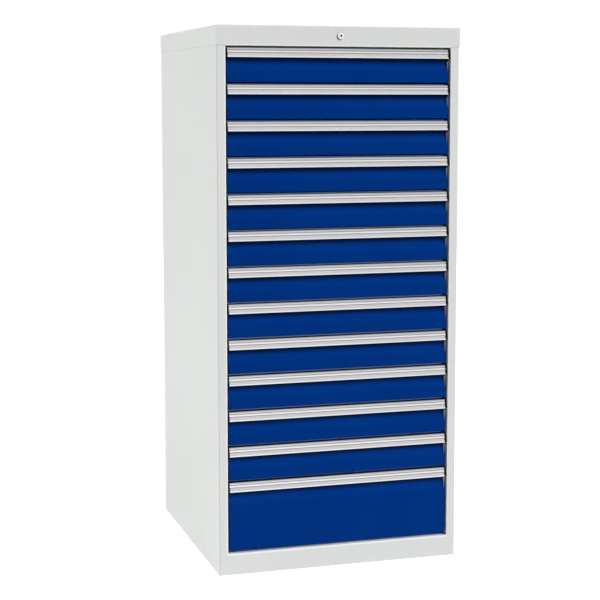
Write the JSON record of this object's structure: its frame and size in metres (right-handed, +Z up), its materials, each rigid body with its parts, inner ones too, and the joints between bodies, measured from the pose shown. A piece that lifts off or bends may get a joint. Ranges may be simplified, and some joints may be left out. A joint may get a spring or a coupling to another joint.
{
  "type": "multi-drawer cabinet",
  "caption": "Floor-standing steel workshop cabinet with stacked shallow drawers above a deep drawer, full-width aluminium pulls and a central lock.",
  "frame": {"origin": "on the floor, under the middle of the cabinet", "axes": "+Z up, +X to the right seen from the front, drawers open towards -Y"},
  "size_m": [0.705, 0.741, 1.52],
  "materials": {
    "carcass_paint": "light grey powder coat, semi-matt, very fine texture",
    "front_paint": "gentian blue powder coat, semi-matt",
    "tray_paint": "light grey powder coat inside and out",
    "handle_aluminium": "satin anodised extrusion, drawn along its length",
    "zinc_plated_steel": "bright zinc plating",
    "lock_chrome": "polished nickel-chrome"
  },
  "bodies": {
    "carcass": {"carcass_shell": "carcass_paint", "base_tray": "carcass_paint", "top_cover": "carcass_paint", "inner_frame": "zinc_plated_steel", "fixed_rails": "zinc_plated_steel", "lock_housing": "lock_chrome"},
    "lock_plug_body": {"lock_plug": "lock_chrome"},
    "lock_bar_body": {"lock_bar": "zinc_plated_steel"},
    "drawer_01": {"drawer_01_tray": "tray_paint", "drawer_01_front": "front_paint", "drawer_01_handle": "handle_aluminium"},
    "drawer_01_runner": {"drawer_01_carriages": "zinc_plated_steel"},
    "drawer_02": {"drawer_02_tray": "tray_paint", "drawer_02_front": "front_paint", "drawer_02_handle": "handle_aluminium"},
    "drawer_02_runner": {"drawer_02_carriages": "zinc_plated_steel"},
    "drawer_03": {"drawer_03_tray": "tray_paint", "drawer_03_front": "front_paint", "drawer_03_handle": "handle_aluminium"},
    "drawer_03_runner": {"drawer_03_carriages": "zinc_plated_steel"},
    "drawer_04": {"drawer_04_tray": "tray_paint", "drawer_04_front": "front_paint", "drawer_04_handle": "handle_aluminium"},
    "drawer_04_runner": {"drawer_04_carriages": "zinc_plated_steel"},
    "drawer_05": {"drawer_05_tray": "tray_paint", "drawer_05_front": "front_paint", "drawer_05_handle": "handle_aluminium"},
    "drawer_05_runner": {"drawer_05_carriages": "zinc_plated_steel"},
    "drawer_06": {"drawer_06_tray": "tray_paint", "drawer_06_front": "front_paint", "drawer_06_handle": "handle_aluminium"},
    "drawer_06_runner": {"drawer_06_carriages": "zinc_plated_steel"},
    "drawer_07": {"drawer_07_tray": "tray_paint", "drawer_07_front": "front_paint", "drawer_07_handle": "handle_aluminium"},
    "drawer_07_runner": {"drawer_07_carriages": "zinc_plated_steel"},
    "drawer_08": {"drawer_08_tray": "tray_paint", "drawer_08_front": "front_paint", "drawer_08_handle": "handle_aluminium"},
    "drawer_08_runner": {"drawer_08_carriages": "zinc_plated_steel"},
    "drawer_09": {"drawer_09_tray": "tray_paint", "drawer_09_front": "front_paint", "drawer_09_handle": "handle_aluminium"},
    "drawer_09_runner": {"drawer_09_carriages": "zinc_plated_steel"},
    "drawer_10": {"drawer_10_tray": "tray_paint", "drawer_10_front": "front_paint", "drawer_10_handle": "handle_aluminium"},
    "drawer_10_runner": {"drawer_10_carriages": "zinc_plated_steel"},
    "drawer_11": {"drawer_11_tray": "tray_paint", "drawer_11_front": "front_paint", "drawer_11_handle": "handle_aluminium"},
    "drawer_11_runner": {"drawer_11_carriages": "zinc_plated_steel"},
    "drawer_12": {"drawer_12_tray": "tray_paint", "drawer_12_front": "front_paint", "drawer_12_handle": "handle_aluminium"},
    "drawer_12_runner": {"drawer_12_carriages": "zinc_plated_steel"},
    "drawer_13": {"drawer_13_tray": "tray_paint", "drawer_13_front": "front_paint", "drawer_13_handle": "handle_aluminium"},
    "drawer_13_runner": {"drawer_13_carriages": "zinc_plated_steel"}
  },
  "joints": [
    {"name": "drawer_01_slide", "type": "slide", "parent": "carcass", "child": "drawer_01", "axis": [0, -1, 0], "range_m": [0, 0.61]},
    {"name": "drawer_01_carriage_slide", "type": "slide", "parent": "carcass", "child": "drawer_01_runner", "axis": [0, -1, 0], "range_m": [0, 0.305]},
    {"name": "drawer_02_slide", "type": "slide", "parent": "carcass", "child": "drawer_02", "axis": [0, -1, 0], "range_m": [0, 0.61]},
    {"name": "drawer_02_carriage_slide", "type": "slide", "parent": "carcass", "child": "drawer_02_runner", "axis": [0, -1, 0], "range_m": [0, 0.305]},
    {"name": "drawer_03_slide", "type": "slide", "parent": "carcass", "child": "drawer_03", "axis": [0, -1, 0], "range_m": [0, 0.61]},
    {"name": "drawer_03_carriage_slide", "type": "slide", "parent": "carcass", "child": "drawer_03_runner", "axis": [0, -1, 0], "range_m": [0, 0.305]},
    {"name": "drawer_04_slide", "type": "slide", "parent": "carcass", "child": "drawer_04", "axis": [0, -1, 0], "range_m": [0, 0.61]},
    {"name": "drawer_04_carriage_slide", "type": "slide", "parent": "carcass", "child": "drawer_04_runner", "axis": [0, -1, 0], "range_m": [0, 0.305]},
    {"name": "drawer_05_slide", "type": "slide", "parent": "carcass", "child": "drawer_05", "axis": [0, -1, 0], "range_m": [0, 0.61]},
    {"name": "drawer_05_carriage_slide", "type": "slide", "parent": "carcass", "child": "drawer_05_runner", "axis": [0, -1, 0], "range_m": [0, 0.305]},
    {"name": "drawer_06_slide", "type": "slide", "parent": "carcass", "child": "drawer_06", "axis": [0, -1, 0], "range_m": [0, 0.61]},
    {"name": "drawer_06_carriage_slide", "type": "slide", "parent": "carcass", "child": "drawer_06_runner", "axis": [0, -1, 0], "range_m": [0, 0.305]},
    {"name": "drawer_07_slide", "type": "slide", "parent": "carcass", "child": "drawer_07", "axis": [0, -1, 0], "range_m": [0, 0.61]},
    {"name": "drawer_07_carriage_slide", "type": "slide", "parent": "carcass", "child": "drawer_07_runner", "axis": [0, -1, 0], "range_m": [0, 0.305]},
    {"name": "drawer_08_slide", "type": "slide", "parent": "carcass", "child": "drawer_08", "axis": [0, -1, 0], "range_m": [0, 0.61]},
    {"name": "drawer_08_carriage_slide", "type": "slide", "parent": "carcass", "child": "drawer_08_runner", "axis": [0, -1, 0], "range_m": [0, 0.305]},
    {"name": "drawer_09_slide", "type": "slide", "parent": "carcass", "child": "drawer_09", "axis": [0, -1, 0], "range_m": [0, 0.61]},
    {"name": "drawer_09_carriage_slide", "type": "slide", "parent": "carcass", "child": "drawer_09_runner", "axis": [0, -1, 0], "range_m": [0, 0.305]},
    {"name": "drawer_10_slide", "type": "slide", "parent": "carcass", "child": "drawer_10", "axis": [0, -1, 0], "range_m": [0, 0.61]},
    {"name": "drawer_10_carriage_slide", "type": "slide", "parent": "carcass", "child": "drawer_10_runner", "axis": [0, -1, 0], "range_m": [0, 0.305]},
    {"name": "drawer_11_slide", "type": "slide", "parent": "carcass", "child": "drawer_11", "axis": [0, -1, 0], "range_m": [0, 0.61]},
    {"name": "drawer_11_carriage_slide", "type": "slide", "parent": "carcass", "child": "drawer_11_runner", "axis": [0, -1, 0], "range_m": [0, 0.305]},
    {"name": "drawer_12_slide", "type": "slide", "parent": "carcass", "child": "drawer_12", "axis": [0, -1, 0], "range_m": [0, 0.61]},
    {"name": "drawer_12_carriage_slide", "type": "slide", "parent": "carcass", "child": "drawer_12_runner", "axis": [0, -1, 0], "range_m": [0, 0.305]},
    {"name": "drawer_13_slide", "type": "slide", "parent": "carcass", "child": "drawer_13", "axis": [0, -1, 0], "range_m": [0, 0.61]},
    {"name": "drawer_13_carriage_slide", "type": "slide", "parent": "carcass", "child": "drawer_13_runner", "axis": [0, -1, 0], "range_m": [0, 0.305]},
    {"name": "lock_bar_lift", "type": "slide", "parent": "carcass", "child": "lock_bar_body", "axis": [0, 0, 1], "range_m": [0, 0.00848]},
    {"name": "lock_turn", "type": "hinge", "parent": "carcass", "child": "lock_plug_body", "pos_m": [0, -0.368, 1.494], "axis": [0, 1, 0], "range_deg": [0, 90]}
  ],
  "couplings": [
    {"joint": "drawer_01_carriage_slide", "follows": "drawer_01_slide", "ratio": 0.5},
    {"joint": "drawer_02_carriage_slide", "follows": "drawer_02_slide", "ratio": 0.5},
    {"joint": "drawer_03_carriage_slide", "follows": "drawer_03_slide", "ratio": 0.5},
    {"joint": "drawer_04_carriage_slide", "follows": "drawer_04_slide", "ratio": 0.5},
    {"joint": "drawer_05_carriage_slide", "follows": "drawer_05_slide", "ratio": 0.5},
    {"joint": "drawer_06_carriage_slide", "follows": "drawer_06_slide", "ratio": 0.5},
    {"joint": "drawer_07_carriage_slide", "follows": "drawer_07_slide", "ratio": 0.5},
    {"joint": "drawer_08_carriage_slide", "follows": "drawer_08_slide", "ratio": 0.5},
    {"joint": "drawer_09_carriage_slide", "follows": "drawer_09_slide", "ratio": 0.5},
    {"joint": "drawer_10_carriage_slide", "follows": "drawer_10_slide", "ratio": 0.5},
    {"joint": "drawer_11_carriage_slide", "follows": "drawer_11_slide", "ratio": 0.5},
    {"joint": "drawer_12_carriage_slide", "follows": "drawer_12_slide", "ratio": 0.5},
    {"joint": "drawer_13_carriage_slide", "follows": "drawer_13_slide", "ratio": 0.5},
    {"joint": "lock_turn", "follows": "lock_bar_lift", "rad_per_m": 185.12}
  ]
}
